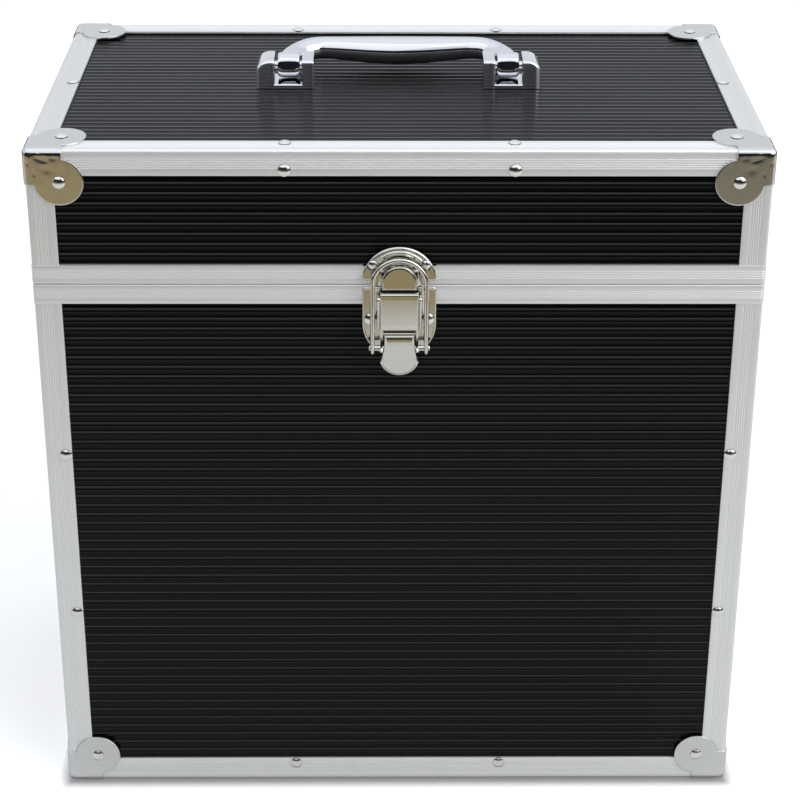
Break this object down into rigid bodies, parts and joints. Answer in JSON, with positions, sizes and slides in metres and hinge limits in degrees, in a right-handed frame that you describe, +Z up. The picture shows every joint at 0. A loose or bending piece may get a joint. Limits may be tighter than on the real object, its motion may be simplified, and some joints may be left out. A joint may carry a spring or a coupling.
{
  "type": "record carrying case",
  "caption": "Upright carrying case for twelve-inch records with a hinged lid, a draw latch and a folding top handle, framed in aluminium angle.",
  "frame": {"origin": "on the floor, under the middle of the case", "axes": "+Z up, -Y towards the front with the latch, +X to the right of someone facing the latch"},
  "size_m": [0.3544, 0.2186, 0.376],
  "materials": {
    "fluted_board": "black fluted plastic facing on board, semi-gloss",
    "frame_aluminium": "satin, finely ribbed along its length",
    "cap_steel": "pressed steel, bright nickel plated",
    "rivet_steel": "plated steel",
    "latch_steel": "pressed steel and wire, bright nickel plated",
    "hinge_steel": "zinc plated steel",
    "handle_chrome": "die casting, chrome plated",
    "foam_lining": "black closed-cell foam sheet"
  },
  "bodies": {
    "body": {"front_panel": "fluted_board", "back_panel": "fluted_board", "left_panel": "fluted_board", "right_panel": "fluted_board", "bottom_panel": "fluted_board", "corner_post_front_left": "frame_aluminium", "corner_post_front_right": "frame_aluminium", "corner_post_back_left": "frame_aluminium", "corner_post_back_right": "frame_aluminium", "bottom_edge_front": "frame_aluminium", "bottom_edge_back": "frame_aluminium", "bottom_edge_left": "frame_aluminium", "bottom_edge_right": "frame_aluminium", "body_rim_front": "frame_aluminium", "body_rim_back": "frame_aluminium", "body_rim_left": "frame_aluminium", "body_rim_right": "frame_aluminium", "bottom_cap_front_left": "cap_steel", "bottom_cap_front_right": "cap_steel", "bottom_cap_back_left": "cap_steel", "bottom_cap_back_right": "cap_steel", "body_rivets": "rivet_steel", "foot_rivets": "rivet_steel", "floor_lining": "foam_lining", "body_wall_lining": "foam_lining", "hinge_body_leaves": "hinge_steel", "hinge_pins": "hinge_steel", "latch_base": "latch_steel", "latch_pivot_pin": "latch_steel", "latch_rivets": "rivet_steel"},
    "lid": {"lid_top_panel": "fluted_board", "lid_front_panel": "fluted_board", "lid_back_panel": "fluted_board", "lid_left_panel": "fluted_board", "lid_right_panel": "fluted_board", "lid_corner_posts": "frame_aluminium", "top_edge_front": "frame_aluminium", "top_edge_back": "frame_aluminium", "top_edge_left": "frame_aluminium", "top_edge_right": "frame_aluminium", "lid_rim_front": "frame_aluminium", "lid_rim_back": "frame_aluminium", "lid_rim_left": "frame_aluminium", "lid_rim_right": "frame_aluminium", "lid_cap_front_left": "cap_steel", "lid_cap_front_right": "cap_steel", "lid_cap_back_left": "cap_steel", "lid_cap_back_right": "cap_steel", "lid_rivets": "rivet_steel", "lid_lining": "foam_lining", "hinge_lid_leaves": "hinge_steel", "keeper": "latch_steel", "handle_bracket_left": "handle_chrome", "handle_bracket_right": "handle_chrome", "handle_screws": "hinge_steel", "handle_pivot_pins": "handle_chrome"},
    "handle": {"handle_grip": "handle_chrome"},
    "lever": {"latch_lever": "latch_steel", "bail_rod": "latch_steel"},
    "bail": {"latch_bail": "latch_steel"}
  },
  "joints": [
    {"name": "lid_hinge", "type": "hinge", "parent": "body", "child": "lid", "pos_m": [0, 0.10245, 0.2925], "axis": [-1, 0, 0], "range_deg": [0, 100]},
    {"name": "handle_swing", "type": "hinge", "parent": "lid", "child": "handle", "pos_m": [0, 0.0044, 0.3685], "axis": [1, 0, 0], "range_deg": [0, 140]},
    {"name": "latch_lever", "type": "hinge", "parent": "body", "child": "lever", "pos_m": [0, -0.10735, 0.2881], "axis": [-1, 0, 0], "range_deg": [-4, 110]},
    {"name": "bail_swing", "type": "hinge", "parent": "lever", "child": "bail", "pos_m": [0, -0.10615, 0.2622], "axis": [-1, 0, 0], "range_deg": [-133, 5]}
  ],
  "couplings": [
    {"joint": "bail_swing", "follows": "latch_lever", "ratio": -1.2}
  ]
}
